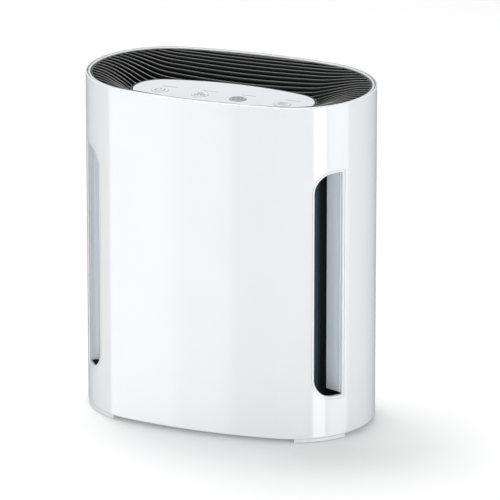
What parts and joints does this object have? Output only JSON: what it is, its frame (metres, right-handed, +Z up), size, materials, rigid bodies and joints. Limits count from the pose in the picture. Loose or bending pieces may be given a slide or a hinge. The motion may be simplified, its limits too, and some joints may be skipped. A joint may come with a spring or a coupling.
{
  "type": "air purifier",
  "caption": "Upright oval room air purifier: air enters tall side slots, passes a removable rear filter cassette and a fan, and leaves by a dished top grille around touch keys.",
  "frame": {"origin": "on the floor, under the middle of the body's box", "axes": "+Z up, -Y towards the front, +X to the right as seen from the front"},
  "size_m": [0.27, 0.16, 0.315],
  "materials": {
    "white_gloss": "gloss white ABS",
    "white_base": "gloss white ABS",
    "grey_liner": "satin pale blue-grey ABS",
    "black_plastic": "satin black ABS",
    "silver_panel": "satin silver-white lacquer",
    "pale_key": "satin",
    "grey_key": "satin",
    "clear_lens": "clear",
    "circuit_board": "solder mask",
    "screw_steel": "zinc plated",
    "impeller_plastic": "moulded",
    "motor_steel": "galvanised",
    "soft_rubber": "matt",
    "copper_coil": "enamelled wire",
    "red_plunger": "moulded",
    "filter_card": "card",
    "carbon_cloth": "non-woven",
    "filter_paper": "pleated fleece",
    "foam": "foam",
    "ribbon": "woven",
    "component_plastic": "moulded"
  },
  "bodies": {
    "cabinet": {"outer_sleeve": "white_gloss", "rim_ring": "white_gloss", "intake_liner_right": "grey_liner", "intake_liner_left": "grey_liner", "top_grille": "black_plastic", "control_panel": "silver_panel", "indicator_lenses": "clear_lens", "control_board": "circuit_board", "tact_switches": "black_plastic", "board_tray": "black_plastic", "panel_screws": "screw_steel", "outlet_duct": "black_plastic", "volute_housing": "black_plastic", "volute_cover": "black_plastic", "volute_screws": "screw_steel", "motor_can": "motor_steel", "motor_bracket": "motor_steel", "motor_grommets": "soft_rubber", "motor_screws": "screw_steel", "motor_stator": "copper_coil", "motor_bearings": "screw_steel", "inlet_guard": "black_plastic", "inner_chassis": "black_plastic", "cover_switch": "black_plastic", "base_plate": "white_base", "foot_pads": "soft_rubber", "base_screws": "screw_steel", "main_board": "circuit_board", "board_components": "component_plastic", "board_screws": "screw_steel", "cord_gland": "soft_rubber"},
    "fan_wheel": {"impeller": "impeller_plastic", "impeller_nut": "screw_steel", "motor_shaft": "screw_steel", "motor_rotor": "motor_steel"},
    "back_cover": {"rear_cover": "white_gloss"},
    "filter_cassette": {"filter_frame": "filter_card", "carbon_layer": "carbon_cloth", "hepa_pleats": "filter_paper", "pre_filter": "carbon_cloth", "filter_gasket": "foam", "filter_pull_tab": "ribbon"},
    "plunger": {"switch_plunger": "red_plunger"},
    "key_power": {"power_key": "pale_key"},
    "key_fan_speed": {"fan_speed_key": "pale_key"},
    "key_timer": {"timer_key": "pale_key"},
    "key_filter_reset": {"filter_reset_key": "grey_key"}
  },
  "joints": [
    {"name": "fan_spin", "type": "hinge", "parent": "cabinet", "child": "fan_wheel", "pos_m": [-0.006, -0.03, 0.146], "axis": [0, -1, 0], "continuous": true},
    {"name": "cover_slide", "type": "slide", "parent": "cabinet", "child": "back_cover", "axis": [0, 1, 0], "range_m": [0, 0.15]},
    {"name": "filter_slide", "type": "slide", "parent": "cabinet", "child": "filter_cassette", "axis": [0, 1, 0], "range_m": [0, 0.075]},
    {"name": "plunger_slide", "type": "slide", "parent": "cabinet", "child": "plunger", "axis": [0, 1, 0], "range_m": [0, 0.0025]},
    {"name": "press_power", "type": "slide", "parent": "cabinet", "child": "key_power", "axis": [0, 0, -1], "range_m": [0, 0.0008], "stiffness_N_per_m": 900},
    {"name": "press_fan_speed", "type": "slide", "parent": "cabinet", "child": "key_fan_speed", "axis": [0, 0, -1], "range_m": [0, 0.0008], "stiffness_N_per_m": 900},
    {"name": "press_timer", "type": "slide", "parent": "cabinet", "child": "key_timer", "axis": [0, 0, -1], "range_m": [0, 0.0008], "stiffness_N_per_m": 900},
    {"name": "press_filter_reset", "type": "slide", "parent": "cabinet", "child": "key_filter_reset", "axis": [0, 0, -1], "range_m": [0, 0.0008], "stiffness_N_per_m": 900}
  ],
  "couplings": [
    {"joint": "filter_slide", "follows": "cover_slide", "ratio": 0.5},
    {"joint": "plunger_slide", "follows": "cover_slide", "ratio": 0.016667}
  ]
}
